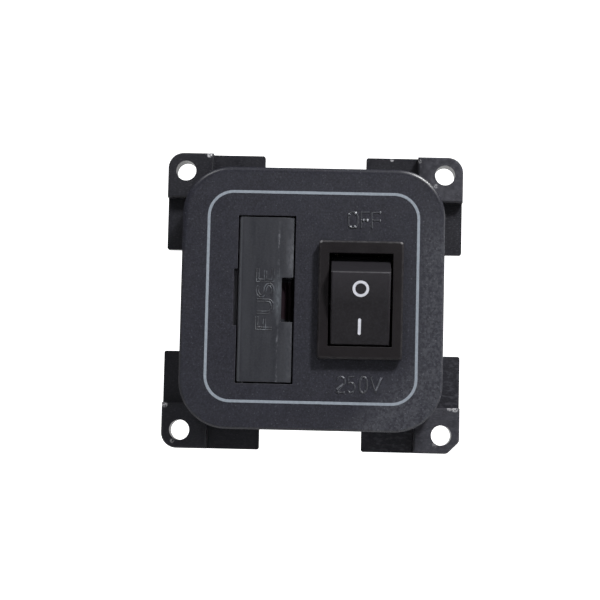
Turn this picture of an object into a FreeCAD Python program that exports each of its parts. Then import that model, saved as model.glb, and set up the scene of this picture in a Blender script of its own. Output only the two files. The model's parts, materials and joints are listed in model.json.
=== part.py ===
import FreeCAD, Part
import math
import os

# Fused spur unit for a modular wiring system: a mounting frame with four screw tabs, a clip-on face
# plate, a swing-out fuse carrier and a double-pole rocker switch with its contact mechanism.
# X runs to the right, Z up and Y into the wall, all in millimetres. The origin is the centre of the
# four screw holes, on the plane where the frame's back meets the wall panel.

# How far a cutting shape runs past the piece it cuts, how deep a joined shape goes into its
# neighbour, and how near an edge must lie to a place to be the one that is meant
PAST = 1.0
SUNK = 0.2
NEAR = 0.01

# Mounting frame
FRAME_SIZE = 54.0
HOLE_INSET = 3.3
HOLE_DIA = 3.65
TAB_SIZE = 8.25
TAB_HEIGHT = 3.9
TAB_ROUND = 2.8
TAB_CHAMFER = 2.2
TAB_CHAMFER_BLEND = 1.1
TAB_EDGE = 0.25
ARM_HEIGHT = 1.5
ARM_SPACE = 18.6
ARM_END_ROUND = 0.4
RING_WALL = 1.6
RING_BEHIND = 3.0
RING_CLEARANCE = 0.25

# Face plate
FACE_MARGIN = 3.65
FACE_HEIGHT = 11.9
FACE_THICKNESS = 2.5
FACE_ROUND = 8.6
FACE_EDGE = 0.35
SKIRT_WALL = 1.9
CLIP_WIDTH = 7.0
CLIP_HEIGHT = 1.0
CLIP_REACH = 0.45
CLIP_FROM_EDGE = 3.0
CLIP_CLEARANCE = 0.15

# Fuse carrier and its opening
OPENING_X = -8.25
OPENING_Z = -0.3
OPENING_WIDTH = 10.2
FUSE_END_ROOM = 2.25
HINGE_SIDE_GAP = 0.15
CARRIER_GAP = 0.3
CARRIER_SKIN = 1.2
HINGE_INSET = 0.85
PEG_DIA = 1.0
PEG_LENGTH = 1.3
RUNNING_GAP = 0.05
CREASE_FROM_EDGE = 2.6
CREASE_DROP = 0.35
NOTCH_LENGTH = 7.9
NOTCH_DEPTH_IN = 2.0
NOTCH_WALL = 0.3
NOTCH_FLOOR_RISE = 0.7
CHEEK_THICKNESS = 0.8
CHEEK_INSET = 0.15
CARRIER_OPEN_DEG = 70.0
LIP_REACH = 0.9
LIP_SPAN_DEG = 8.0
LIP_PLAY = 0.08
TROUGH_BEHIND_AXIS = 0.9
TROUGH_START_DEG = -15.0
CHEEK_START_DEG = -5.0
SWING_GAP = 0.27
GUARD_SLOT_LENGTH = 10.1
GUARD_SLOT_WIDTH = 0.6
GUARD_SLOT_DEPTH = 1.8
HOUSING_WALL = 1.2
HOUSING_GAP = 0.3

# Cartridge fuse
FUSE_DIA = 6.35
FUSE_LENGTH = 25.4
FUSE_CAP_LENGTH = 6.0
FUSE_CAP_WALL = 0.3
FUSE_BORE = 3.4
FUSE_WIRE_DIA = 0.3
FUSE_SEAT_GAP = 0.075

# Fixed fuse contacts with their blade terminals
LEAF_WIDTH = 4.9
LEAF_THICKNESS = 0.5
LEAF_GAP = 0.2
LEAF_CORNER = 1.0
DIMPLE_HEIGHT = 0.15
DIMPLE_DIA = 2.0
FUSE_BLADE_WIDTH = 6.3
BLADE_THICKNESS = 0.8
FUSE_BLADE_LENGTH = 7.9
FUSE_BLADE_HOLE = 1.65
BLADE_SLOT_GAP = 0.05

# Rocker switch housing
SWITCH_X = 8.55
SWITCH_Z = -0.2
BEZEL_WIDTH = 15.0
BEZEL_LENGTH = 20.9
BEZEL_HEIGHT = 2.0
BEZEL_EDGE = 0.25
BEZEL_ROUND = 0.6
SWITCH_WIDTH = 12.8
SWITCH_LENGTH = 18.7
SWITCH_DEPTH = 13.4
SWITCH_WALL = 0.75
SWITCH_FLOOR = 1.2
CUTOUT_GAP = 0.1
MOUTH_LENGTH = 16.5
MOUTH_DEPTH = 2.9
WING_WIDTH = 6.0
WING_REACH = 0.7
WING_LENGTH = 3.0
PARTITION = 0.9
PARTITION_HEIGHT = 4.6

# Rocker
ROCKER_SIDE_GAP = 0.43
ROCKER_TILT_DEG = 14.0
PIVOT_DEPTH = 5.3
ROCKER_RISE = 6.8
ROCKER_FACE_LENGTH = 13.1
ROCKER_BASE_LENGTH = 16.3
ROCKER_WALL = 1.2
ROCKER_EDGE = 0.35
ROCKER_LOBE_DIA = 4.4
PIN_DIA = 2.2
PIN_END_GAP = 0.2
POLE_OFFSET = 2.6
LEG_DIA = 3.5
LEG_BORE = 2.3
LEG_BEHIND = 2.9
LEG_ROOF = 1.1

# Spring plungers
PLUNGER_DIA = 2.1
PLUNGER_OVERLAP = 1.6
PLUNGER_GAP = 0.4
NOSE_LENGTH = 0.7
NOSE_FLAT_DIA = 0.9
SPRING_WIRE = 0.24
SPRING_DIA = 1.5
SPRING_TURNS = 3

# Rocking contact bridges
BRIDGE_TILT_DEG = 9.0
BRIDGE_WING_DEG = 18.0
BRIDGE_WING = 6.4
BRIDGE_WIDTH = 3.2
BRIDGE_THICKNESS = 0.6
BRIDGE_RISE = 1.4
SADDLE_HALF = 1.1
RIDGE_DIA = 1.2
RIDGE_HEIGHT = 0.4
RIDGE_NECK = 0.9
CONTACT_REACH = 5.2
CONTACT_DIA = 2.4
MOVING_CONTACT = 0.5
FIXED_CONTACT = 0.55
CONTACT_DOME = 3.2
CONTACT_GAP = 0.08
STOP_LENGTH = 1.0
STOP_WIDTH = 2.4

# Switch terminals
SWITCH_BLADE_WIDTH = 4.8
SWITCH_BLADE_LENGTH = 7.5
SWITCH_BLADE_HOLE = 1.4
COMMON_BLADE_Z = -1.0
LOAD_BLADE_Z = 5.9
HEAD_LENGTH = 4.0
LOAD_HEAD_LENGTH = 3.4
BLADE_TIP = 0.7
BLADE_HOLE_FROM_TIP = 3.8

# Places that follow from the sizes above
FRAME_HALF = FRAME_SIZE / 2
HOLE_AT = FRAME_HALF - HOLE_INSET
FACE_HALF = FRAME_HALF - FACE_MARGIN
FACE_FRONT = -FACE_HEIGHT
FACE_BACK = FACE_FRONT + FACE_THICKNESS
RING_HALF = FACE_HALF - SKIRT_WALL - RING_CLEARANCE
RING_ROUND = FACE_ROUND - SKIRT_WALL - RING_CLEARANCE
RING_FRONT = FACE_BACK + RING_CLEARANCE
CLIP_FRONT = -TAB_HEIGHT - CLIP_FROM_EDGE

OPENING_LENGTH = FUSE_LENGTH + 2 * FUSE_END_ROOM
OPENING_LEFT = OPENING_X - OPENING_WIDTH / 2
OPENING_RIGHT = OPENING_X + OPENING_WIDTH / 2
HINGE_X = OPENING_LEFT + HINGE_SIDE_GAP + HINGE_INSET
HINGE_Y = FACE_FRONT + HINGE_INSET
CARRIER_HALF = OPENING_LENGTH / 2 - CARRIER_GAP
CARRIER_REACH = OPENING_RIGHT - CARRIER_GAP - HINGE_X
EDGE_RADIUS = OPENING_RIGHT - HINGE_X
SWING_RADIUS = EDGE_RADIUS - SWING_GAP
PLATE_BACK = FACE_BACK - HINGE_Y
SKIN_BACK = CARRIER_SKIN - HINGE_INSET
LIP_RADIUS = SWING_RADIUS + LIP_REACH
LIP_START = CARRIER_OPEN_DEG + math.degrees(math.asin((PLATE_BACK + LIP_PLAY) / EDGE_RADIUS))
LIP_END = LIP_START + LIP_SPAN_DEG
FUSE_Y = SKIN_BACK + FUSE_SEAT_GAP + FUSE_DIA / 2
FUSE_X = math.sqrt((SWING_RADIUS - FUSE_DIA / 2) ** 2 - FUSE_Y ** 2)
SEAT_RADIUS = FUSE_DIA / 2 + FUSE_SEAT_GAP
HOUSING_REACH = LIP_RADIUS + HOUSING_GAP
LEAF_Z = FUSE_LENGTH / 2 + LEAF_GAP

BEZEL_FRONT = FACE_FRONT - BEZEL_HEIGHT
PIVOT_Y = BEZEL_FRONT + PIVOT_DEPTH
SWITCH_BACK = FACE_FRONT + SWITCH_DEPTH
FLOOR = SWITCH_BACK - SWITCH_FLOOR
CAVITY_HALF_X = SWITCH_WIDTH / 2 - SWITCH_WALL
CAVITY_HALF_Z = SWITCH_LENGTH / 2 - SWITCH_WALL
ROCKER_HALF = CAVITY_HALF_X - ROCKER_SIDE_GAP
BRIDGE_Y = FLOOR - BLADE_THICKNESS - RIDGE_HEIGHT
PLUNGER_TIP = BRIDGE_Y - BRIDGE_RISE - PLUNGER_GAP - PIVOT_Y
BLADE_X = POLE_OFFSET + BRIDGE_WIDTH / 2 - BLADE_THICKNESS / 2


def V(x, y, z):
    return FreeCAD.Vector(x, y, z)


def block(x0, x1, y0, y1, z0, z1):
    return Part.makeBox(x1 - x0, y1 - y0, z1 - z0, V(x0, y0, z0))


def rod_x(radius, x0, x1, y=0.0, z=0.0):
    return Part.makeCylinder(radius, x1 - x0, V(x0, y, z), V(1, 0, 0))


def rod_y(radius, y0, y1, x=0.0, z=0.0):
    return Part.makeCylinder(radius, y1 - y0, V(x, y0, z), V(0, 1, 0))


def rod_z(radius, z0, z1, x=0.0, y=0.0):
    return Part.makeCylinder(radius, z1 - z0, V(x, y, z0), V(0, 0, 1))


def prism_x(points_yz, x0, x1):
    corners = [V(x0, y, z) for y, z in points_yz]
    face = Part.Face(Part.makePolygon(corners + corners[:1]))
    return face.extrude(V(x1 - x0, 0, 0))


def prism_z(points_xy, z0, z1):
    corners = [V(x, y, z0) for x, y in points_xy]
    face = Part.Face(Part.makePolygon(corners + corners[:1]))
    return face.extrude(V(0, 0, z1 - z0))


def edges_along(shape, direction, test=None):
    found = []
    for edge in shape.Edges:
        straight = edge.Curve.TypeId == "Part::GeomLine"
        if straight and abs(edge.tangentAt(edge.FirstParameter).dot(direction)) > 0.999:
            if test is None or test(edge.CenterOfMass):
                found.append(edge)
    return found


def edges_at_y(shape, y):
    return [e for e in shape.Edges if max(abs(e.BoundBox.YMin - y), abs(e.BoundBox.YMax - y)) < NEAR]


def rounded_slab(half_x, half_z, radius, y0, y1, x=0.0, z=0.0):
    slab = block(x - half_x, x + half_x, y0, y1, z - half_z, z + half_z)
    return slab.makeFillet(radius, edges_along(slab, V(0, 1, 0)))


def one(shape):
    clean = shape.removeSplitter()
    return clean.Solids[0] if len(clean.Solids) == 1 else clean


def corners():
    return [(sx, sz) for sx in (-1, 1) for sz in (-1, 1)]


def at_hinge(shape):
    shape.translate(V(HINGE_X, HINGE_Y, OPENING_Z))
    return shape


def at_switch(shape):
    shape.translate(V(SWITCH_X, 0, SWITCH_Z))
    return shape


# Mounting frame

def screw_tab(sx, sz):
    """One corner boss. The lower right one is cut off at a slant, as a mark for the fitter."""
    inner = FRAME_HALF - TAB_SIZE
    xs = sorted((sx * inner, sx * FRAME_HALF))
    zs = sorted((sz * inner, sz * FRAME_HALF))
    tab = block(xs[0], xs[1], -TAB_HEIGHT, 0, zs[0], zs[1])

    def outer(point):
        return min(point.x * sx, point.z * sz) > FRAME_HALF - NEAR

    corner = edges_along(tab, V(0, 1, 0), outer)
    if (sx, sz) == (1, -1):
        tab = tab.makeChamfer(TAB_CHAMFER, corner)

        def on_slant(point):
            reach = point.x * sx + point.z * sz
            return abs(reach - 2 * FRAME_HALF + TAB_CHAMFER) < NEAR

        tab = tab.makeFillet(TAB_CHAMFER_BLEND, edges_along(tab, V(0, 1, 0), on_slant))
    else:
        tab = tab.makeFillet(TAB_ROUND, corner)
    return tab.makeChamfer(TAB_EDGE, edges_at_y(tab, -TAB_HEIGHT))


def arm(sx, sz, turned):
    """A flat arm beside a tab, which the outer trim grips; turned swaps X and Z."""
    near = FRAME_HALF - TAB_SIZE
    along = sorted((ARM_SPACE / 2, FRAME_HALF - TAB_ROUND))
    run = (sz if turned else sx)
    side = (sx if turned else sz)
    a = sorted((run * along[0], run * along[1]))
    b = sorted((side * near, side * FRAME_HALF))
    if turned:
        plate = block(b[0], b[1], -ARM_HEIGHT, 0, a[0], a[1])
    else:
        plate = block(a[0], a[1], -ARM_HEIGHT, 0, b[0], b[1])

    def free_end(point):
        along_run = (point.z if turned else point.x) * run
        across = (point.x if turned else point.z) * side
        return along_run < ARM_SPACE / 2 + NEAR and across > FRAME_HALF - NEAR

    return plate.makeFillet(ARM_END_ROUND, edges_along(plate, V(0, 1, 0), free_end))


def ring_hollow():
    half = RING_HALF - RING_WALL
    return rounded_slab(half, half, RING_ROUND - RING_WALL, RING_FRONT - PAST, RING_BEHIND + PAST)


def ring():
    outer = rounded_slab(RING_HALF, RING_HALF, RING_ROUND, RING_FRONT, RING_BEHIND)
    return outer.cut(ring_hollow())


def clip_bar(half_width, reach, height, front):
    """A wedge along the middle of one side of the ring, thick at the back so that it catches."""
    wedge = [(front, RING_HALF - SUNK), (front, RING_HALF), (front + height, RING_HALF + reach),
             (front + height, RING_HALF - SUNK)]
    return prism_x(wedge, -half_width, half_width)


def around(shape):
    turned = []
    for quarter in range(4):
        copy = shape.copy()
        copy.rotate(V(0, 0, 0), V(0, 1, 0), 90 * quarter)
        turned.append(copy)
    return turned


def mounting_frame():
    parts = [screw_tab(sx, sz) for sx, sz in corners()]
    parts += [arm(sx, sz, turned) for sx, sz in corners() for turned in (False, True)]
    parts += around(clip_bar(CLIP_WIDTH / 2, CLIP_REACH, CLIP_HEIGHT, CLIP_FRONT))
    frame = ring().multiFuse(parts).cut(ring_hollow())
    radius = HOLE_DIA / 2
    holes = [rod_y(radius, -TAB_HEIGHT - PAST, PAST, sx * HOLE_AT, sz * HOLE_AT) for sx, sz in corners()]
    return one(frame.cut(Part.makeCompound(holes)))


# Face plate

def face_plate():
    """The clip-on cap. Its skirt stands on the four tabs and takes the ring's clips in grooves."""
    cap = rounded_slab(FACE_HALF, FACE_HALF, FACE_ROUND, FACE_FRONT, -TAB_HEIGHT)
    cap = cap.makeChamfer(FACE_EDGE, edges_at_y(cap, FACE_FRONT))
    inner = FACE_HALF - SKIRT_WALL
    cap = cap.cut(rounded_slab(inner, inner, FACE_ROUND - SKIRT_WALL, FACE_BACK, 0))
    groove = block(-CLIP_WIDTH / 2 - CLIP_CLEARANCE, CLIP_WIDTH / 2 + CLIP_CLEARANCE,
                   CLIP_FRONT - CLIP_CLEARANCE, CLIP_FRONT + CLIP_HEIGHT + CLIP_CLEARANCE,
                   inner - SUNK, RING_HALF + CLIP_REACH + CLIP_CLEARANCE)
    front, back = FACE_FRONT - PAST, FACE_BACK + PAST
    low, high = OPENING_Z - OPENING_LENGTH / 2, OPENING_Z + OPENING_LENGTH / 2
    opening = block(OPENING_LEFT, OPENING_RIGHT, front, back, low, high)
    peg_reach = CARRIER_HALF + PEG_LENGTH + CARRIER_GAP / 2
    pegs = at_hinge(rod_z(PEG_DIA / 2 + RUNNING_GAP, -peg_reach, peg_reach))
    guard = block(OPENING_LEFT - GUARD_SLOT_WIDTH, OPENING_LEFT + SUNK, front,
                  FACE_FRONT + GUARD_SLOT_DEPTH, -GUARD_SLOT_LENGTH / 2, GUARD_SLOT_LENGTH / 2)
    half_x = SWITCH_WIDTH / 2 + CUTOUT_GAP
    half_z = SWITCH_LENGTH / 2 + CUTOUT_GAP
    cutout = at_switch(block(-half_x, half_x, front, back, -half_z, half_z))
    return one(cap.cut(Part.makeCompound(around(groove))).cut(opening).cut(pegs).cut(guard).cut(cutout))


# Fuse carrier, modelled about its hinge line and then moved into the plate

def sector(radius, start_deg, end_deg, z0, z1):
    """A slice of a disc about the hinge line, from start to end angle, measured from +X to +Y."""
    slab = Part.makeCylinder(radius, z1 - z0, V(0, 0, z0), V(0, 0, 1), end_deg - start_deg)
    slab.rotate(V(0, 0, 0), V(0, 0, 1), start_deg)
    return slab


def carrier_skin():
    """The visible lid: round about the hinge on the left, flat, then a crease and a falling strip."""
    front = -HINGE_INSET
    crease = CARRIER_REACH - CREASE_FROM_EDGE
    lid = prism_z([(0, front), (crease, front), (CARRIER_REACH, front + CREASE_DROP),
                   (CARRIER_REACH, SKIN_BACK), (0, SKIN_BACK)], -CARRIER_HALF, CARRIER_HALF)
    return lid.fuse(rod_z(HINGE_INSET, -CARRIER_HALF, CARRIER_HALF))


def carrier_trough():
    """The long seat behind the lid. Its right wall ends in the swing radius, so it passes the edge."""
    half = FUSE_LENGTH / 2 - 2 * LEAF_GAP
    body = sector(SWING_RADIUS, TROUGH_START_DEG, 90, -half, half)
    back = FUSE_Y + TROUGH_BEHIND_AXIS
    body = body.common(block(SUNK, SWING_RADIUS + PAST, SKIN_BACK - SUNK, back, -half, half))
    return body.cut(rod_z(SEAT_RADIUS, -half - PAST, half + PAST, FUSE_X, FUSE_Y))


def carrier_cheek(side):
    """A quarter disc at one end. The lip at its far corner meets the plate when the carrier is open."""
    outer = CARRIER_HALF - CHEEK_INSET
    z0 = outer - CHEEK_THICKNESS
    cheek = sector(SWING_RADIUS, CHEEK_START_DEG, LIP_END, z0, outer)
    cheek = cheek.fuse(sector(LIP_RADIUS, LIP_START, LIP_END, z0, outer))
    cheek = cheek.common(block(-PAST, LIP_RADIUS, SKIN_BACK - SUNK, LIP_RADIUS, z0, outer))
    peg = rod_z(PEG_DIA / 2, z0, CARRIER_HALF + PEG_LENGTH)
    cheek = cheek.fuse(peg)
    if side < 0:
        cheek = cheek.mirror(V(0, 0, 0), V(0, 0, 1))
    return cheek


def driver_notch():
    """The pocket in the lid's free edge where a screwdriver tip levers the carrier out."""
    start = CARRIER_REACH - NOTCH_DEPTH_IN
    wall_at_start = FUSE_Y - math.sqrt(SEAT_RADIUS ** 2 - (start - FUSE_X) ** 2) - NOTCH_WALL
    beyond = SWING_RADIUS + PAST
    front = -HINGE_INSET - PAST
    deep = FUSE_X + SEAT_RADIUS + NOTCH_WALL
    floor = FUSE_Y - NOTCH_FLOOR_RISE
    outline = [(start, front), (beyond, front), (beyond, floor + NOTCH_FLOOR_RISE / 3),
               (deep, floor - NOTCH_FLOOR_RISE / 2), (start, wall_at_start)]
    return prism_z(outline, -NOTCH_LENGTH / 2, NOTCH_LENGTH / 2)


def fuse_carrier():
    carrier = carrier_skin().multiFuse([carrier_trough(), carrier_cheek(1), carrier_cheek(-1)])
    return at_hinge(one(carrier.cut(driver_notch())))


# Cartridge fuse, seated in the carrier

def fuse_barrel():
    """Ceramic tube that the caps go over."""
    half = FUSE_LENGTH / 2 - FUSE_CAP_WALL
    tube = rod_z(FUSE_DIA / 2 - FUSE_CAP_WALL, -half, half, FUSE_X, FUSE_Y)
    return at_hinge(tube.cut(rod_z(FUSE_BORE / 2, -half - PAST, half + PAST, FUSE_X, FUSE_Y)))


def fuse_cap(side):
    end = FUSE_LENGTH / 2
    cap = rod_z(FUSE_DIA / 2, end - FUSE_CAP_LENGTH, end, FUSE_X, FUSE_Y)
    rim = [e for e in cap.Edges if e.Curve.TypeId == "Part::GeomCircle" and e.CenterOfMass.z > end - NEAR]
    cap = cap.makeChamfer(FUSE_CAP_WALL, rim)
    cap = cap.cut(rod_z(FUSE_DIA / 2 - FUSE_CAP_WALL, 0, end - FUSE_CAP_WALL, FUSE_X, FUSE_Y))
    if side < 0:
        cap = cap.mirror(V(0, 0, 0), V(0, 0, 1))
    return at_hinge(cap)


def fuse_element():
    """The wire between the caps. It ends on both of them."""
    half = FUSE_LENGTH / 2 - FUSE_CAP_WALL
    return at_hinge(rod_z(FUSE_WIRE_DIA / 2, -half, half, FUSE_X, FUSE_Y))


# Fuse housing and its fixed contacts

def fuse_housing():
    """An open box behind the plate that the carrier swings in. Its mouth is welded to the plate."""
    left = OPENING_LEFT - HINGE_X
    half = OPENING_LENGTH / 2
    wall = HOUSING_WALL
    outer = block(left - wall, HOUSING_REACH + wall, PLATE_BACK, HOUSING_REACH + wall,
                  -half - wall, half + wall)
    outer = outer.makeFillet(wall, edges_along(outer, V(0, 0, 1), lambda p: p.y > HOUSING_REACH))
    box = outer.cut(block(left, HOUSING_REACH, PLATE_BACK - PAST, HOUSING_REACH, -half, half))
    gap = BLADE_SLOT_GAP
    half_width = FUSE_BLADE_WIDTH / 2 + gap
    for side in (-1, 1):
        zs = sorted((side * (LEAF_Z - gap), side * (LEAF_Z + BLADE_THICKNESS + gap)))
        box = box.cut(block(FUSE_X - half_width, FUSE_X + half_width, HOUSING_REACH - PAST,
                            HOUSING_REACH + wall + PAST, zs[0], zs[1]))
    return at_hinge(one(box))


def tipped_blade(width, length, hole, y0):
    """A blade terminal in the XY plane, centred on X, with slanted tip corners and a latch hole."""
    half = width / 2
    end = y0 + length
    outline = [(-half, y0), (half, y0), (half, end - BLADE_TIP), (half - BLADE_TIP, end),
               (-half + BLADE_TIP, end), (-half, end - BLADE_TIP)]
    blade = prism_z(outline, 0, BLADE_THICKNESS)
    return blade.cut(rod_z(hole / 2, -PAST, BLADE_THICKNESS + PAST, 0, end - BLADE_HOLE_FROM_TIP))


def fuse_contact(side):
    """A brass leaf beside the fuse end with a pressed dimple, and a wider blade behind the housing."""
    leaf_front = SKIN_BACK + 2 * LEAF_THICKNESS
    back = HOUSING_REACH + HOUSING_WALL
    leaf = block(-LEAF_WIDTH / 2, LEAF_WIDTH / 2, leaf_front, back, 0, LEAF_THICKNESS)
    leaf = leaf.makeChamfer(LEAF_CORNER, edges_along(leaf, V(0, 0, 1), lambda p: p.y < leaf_front + NEAR))
    blade = tipped_blade(FUSE_BLADE_WIDTH, HOUSING_WALL + FUSE_BLADE_LENGTH, FUSE_BLADE_HOLE, HOUSING_REACH)
    dimple = Part.makeCone(DIMPLE_DIA / 4, DIMPLE_DIA / 2, DIMPLE_HEIGHT, V(0, FUSE_Y, -DIMPLE_HEIGHT))
    contact = one(leaf.fuse(blade).fuse(dimple))
    contact.translate(V(FUSE_X, 0, LEAF_Z))
    if side < 0:
        contact = contact.mirror(V(0, 0, 0), V(0, 0, 1))
    return at_hinge(contact)


# Rocker switch housing. It and all in it are modelled about the switch's centre line

def switch_shell():
    half_x = BEZEL_WIDTH / 2
    half_z = BEZEL_LENGTH / 2
    bezel = rounded_slab(half_x, half_z, BEZEL_ROUND, BEZEL_FRONT, FACE_FRONT)
    bezel = bezel.makeChamfer(BEZEL_EDGE, edges_at_y(bezel, BEZEL_FRONT))
    body = block(-SWITCH_WIDTH / 2, SWITCH_WIDTH / 2, FACE_FRONT - BEZEL_HEIGHT / 2, SWITCH_BACK,
                 -SWITCH_LENGTH / 2, SWITCH_LENGTH / 2)
    return bezel.fuse(body)


def snap_wings():
    front = FACE_BACK + RUNNING_GAP
    side = SWITCH_LENGTH / 2
    wedge = [(front, side - SUNK), (front, side + WING_REACH), (front + WING_LENGTH, side),
             (front + WING_LENGTH, side - SUNK)]
    upper = prism_x(wedge, -WING_WIDTH / 2, WING_WIDTH / 2)
    return [upper, upper.mirror(V(0, 0, 0), V(0, 0, 1))]


def blade_slots():
    gap = BLADE_SLOT_GAP
    half_width = SWITCH_BLADE_WIDTH / 2 + gap
    half_thick = BLADE_THICKNESS / 2 + gap
    slots = []
    for side in (-1, 1):
        x = side * BLADE_X
        for z in (COMMON_BLADE_Z, LOAD_BLADE_Z):
            slots.append(block(x - half_thick, x + half_thick, FLOOR - PAST, SWITCH_BACK + PAST,
                               z - half_width, z + half_width))
    return Part.makeCompound(slots)


def switch_housing():
    """Bezel and box in one moulding, with pin holes, a wall between the poles and two stops."""
    mouth = block(-CAVITY_HALF_X, CAVITY_HALF_X, BEZEL_FRONT - PAST, BEZEL_FRONT + MOUTH_DEPTH + SUNK,
                  -MOUTH_LENGTH / 2, MOUTH_LENGTH / 2)
    cavity = block(-CAVITY_HALF_X, CAVITY_HALF_X, BEZEL_FRONT + MOUTH_DEPTH, FLOOR,
                   -CAVITY_HALF_Z, CAVITY_HALF_Z)
    pins = rod_x(PIN_DIA / 2 + RUNNING_GAP, -SWITCH_WIDTH, SWITCH_WIDTH, PIVOT_Y)
    shell = switch_shell().multiFuse(snap_wings()).cut(mouth).cut(cavity).cut(pins)
    partition = block(-PARTITION / 2, PARTITION / 2, FLOOR - PARTITION_HEIGHT, FLOOR + SUNK,
                      -CAVITY_HALF_Z - SUNK, CAVITY_HALF_Z + SUNK)
    return at_switch(one(shell.multiFuse([partition] + stop_ribs()).cut(blade_slots())))


def stop_ribs():
    """Ribs on the floor that the idle ends of the bridges come down on when the switch is off."""
    y, z = bridge_point(CONTACT_REACH, BRIDGE_THICKNESS)
    y, z = turned_point(y, z, -BRIDGE_TILT_DEG)
    slope = math.tan(math.radians(BRIDGE_WING_DEG - BRIDGE_TILT_DEG)) * STOP_LENGTH / 2
    front = BRIDGE_Y + y + CONTACT_GAP + slope
    half, long = STOP_WIDTH / 2, STOP_LENGTH / 2
    ribs = []
    for side in (-1, 1):
        x = side * POLE_OFFSET
        ribs.append(block(x - half, x + half, front, FLOOR + SUNK, -z - long, -z + long))
    return ribs


# Rocker, modelled level about its pivot line

def at_pivot(shape, tilt_deg):
    shape.rotate(V(0, 0, 0), V(1, 0, 0), tilt_deg)
    shape.translate(V(0, PIVOT_Y, 0))
    return at_switch(shape)


def rocker_solid(inset):
    """The flat-faced key. Its ends lean in, so the pressed end stands square in the bezel."""
    face = ROCKER_FACE_LENGTH / 2
    base = ROCKER_BASE_LENGTH / 2
    lean = (base - face) / ROCKER_RISE
    front = ROCKER_RISE - inset
    back = 0 if inset == 0 else -PAST
    side = inset * math.sqrt(1 + lean ** 2)
    outline = [(-front, base - lean * front - side), (-front, -base + lean * front + side),
               (-back, -base + lean * back + side), (-back, base - lean * back - side)]
    return prism_x(outline, -ROCKER_HALF + inset, ROCKER_HALF - inset)


def rocker():
    key = rocker_solid(0)
    key = key.makeFillet(ROCKER_EDGE, edges_at_y(key, -ROCKER_RISE))
    lobes = rod_x(ROCKER_LOBE_DIA / 2, -ROCKER_HALF, ROCKER_HALF)
    key = key.fuse(lobes).cut(rocker_solid(ROCKER_WALL))
    key = key.cut(rod_x(ROCKER_LOBE_DIA / 2 + NEAR, -ROCKER_HALF + ROCKER_WALL, ROCKER_HALF - ROCKER_WALL))
    reach = SWITCH_WIDTH / 2 - PIN_END_GAP
    start = ROCKER_HALF - SUNK
    pins = [rod_x(PIN_DIA / 2, start, reach), rod_x(PIN_DIA / 2, -reach, -start)]
    roof = -ROCKER_RISE + LEG_ROOF
    legs = [rod_y(LEG_DIA / 2, roof, LEG_BEHIND, side * POLE_OFFSET) for side in (-1, 1)]
    end = LEG_BEHIND + PAST
    bores = [rod_y(LEG_BORE / 2, roof + LEG_ROOF, end, side * POLE_OFFSET) for side in (-1, 1)]
    return at_pivot(one(key.multiFuse(pins + legs).cut(Part.makeCompound(bores))), ROCKER_TILT_DEG)


def plunger(side):
    """A turned pin, blunt at the tip, that slides in the rocker's leg and flips the bridge."""
    radius = PLUNGER_DIA / 2
    start = LEG_BEHIND - PLUNGER_OVERLAP
    profile = [(0, start), (radius, start), (radius, PLUNGER_TIP - NOSE_LENGTH),
               (NOSE_FLAT_DIA / 2, PLUNGER_TIP), (0, PLUNGER_TIP)]
    corners = [V(r, y, 0) for r, y in profile]
    turned = Part.Face(Part.makePolygon(corners + corners[:1])).revolve(V(0, 0, 0), V(0, 1, 0), 360)
    turned.translate(V(side * POLE_OFFSET, 0, 0))
    return at_pivot(turned, ROCKER_TILT_DEG)


def plunger_spring(side):
    """Compression spring of square wire between the roof of the leg and the plunger's shoulder."""
    start = -ROCKER_RISE + 2 * LEG_ROOF + SPRING_WIRE / 2
    end = LEG_BEHIND - PLUNGER_OVERLAP - SPRING_WIRE / 2
    length = end - start
    helix = Part.makeHelix(length / SPRING_TURNS, length, SPRING_DIA / 2)
    inner, outer = (SPRING_DIA - SPRING_WIRE) / 2, (SPRING_DIA + SPRING_WIRE) / 2
    half = SPRING_WIRE / 2
    corners = [V(inner, 0, -half), V(outer, 0, -half), V(outer, 0, half), V(inner, 0, half)]
    section = Part.makePolygon(corners + corners[:1])
    coil = Part.Wire(helix.Edges).makePipeShell([section], True, True)
    coil.rotate(V(0, 0, 0), V(1, 0, 0), -90)
    coil.translate(V(side * POLE_OFFSET, start, 0))
    return at_pivot(coil, ROCKER_TILT_DEG)


# Contact bridges, modelled level about their own rocking line

def bridge_point(along, behind):
    """A point on the upper wing: its distance along the wing and its depth behind the front skin."""
    lean = math.radians(BRIDGE_WING_DEG)
    apex = -BRIDGE_RISE
    y = apex - along * math.sin(lean) + behind * math.cos(lean)
    z = along * math.cos(lean) + behind * math.sin(lean)
    return y, z


def turned_point(y, z, degrees):
    turn = math.radians(degrees)
    return y * math.cos(turn) - z * math.sin(turn), y * math.sin(turn) + z * math.cos(turn)


def at_bridge(shape, side):
    shape.rotate(V(0, 0, 0), V(1, 0, 0), -BRIDGE_TILT_DEG)
    shape.translate(V(side * POLE_OFFSET, BRIDGE_Y, 0))
    return at_switch(shape)


def contact_bridge(side):
    """A shallow V of strip that see-saws on the common terminal's ridge in a grooved saddle."""
    lean = math.radians(BRIDGE_WING_DEG)
    back_apex = -BRIDGE_RISE + BRIDGE_THICKNESS / math.cos(lean)
    front_end = bridge_point(BRIDGE_WING, 0)
    back_end = bridge_point(BRIDGE_WING, BRIDGE_THICKNESS)
    outline = [(-BRIDGE_RISE, 0), front_end, back_end, (back_apex, 0),
               (back_end[0], -back_end[1]), (front_end[0], -front_end[1])]
    half = BRIDGE_WIDTH / 2
    strip = prism_x(outline, -half, half)
    front = -BRIDGE_RISE + BRIDGE_THICKNESS / 2
    saddle = block(-half, half, front, -RUNNING_GAP, -SADDLE_HALF, SADDLE_HALF)
    groove = rod_x(RIDGE_DIA / 2 + RUNNING_GAP, -half - PAST, half + PAST)
    return at_bridge(one(strip.fuse(saddle).cut(groove)), side)


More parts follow.
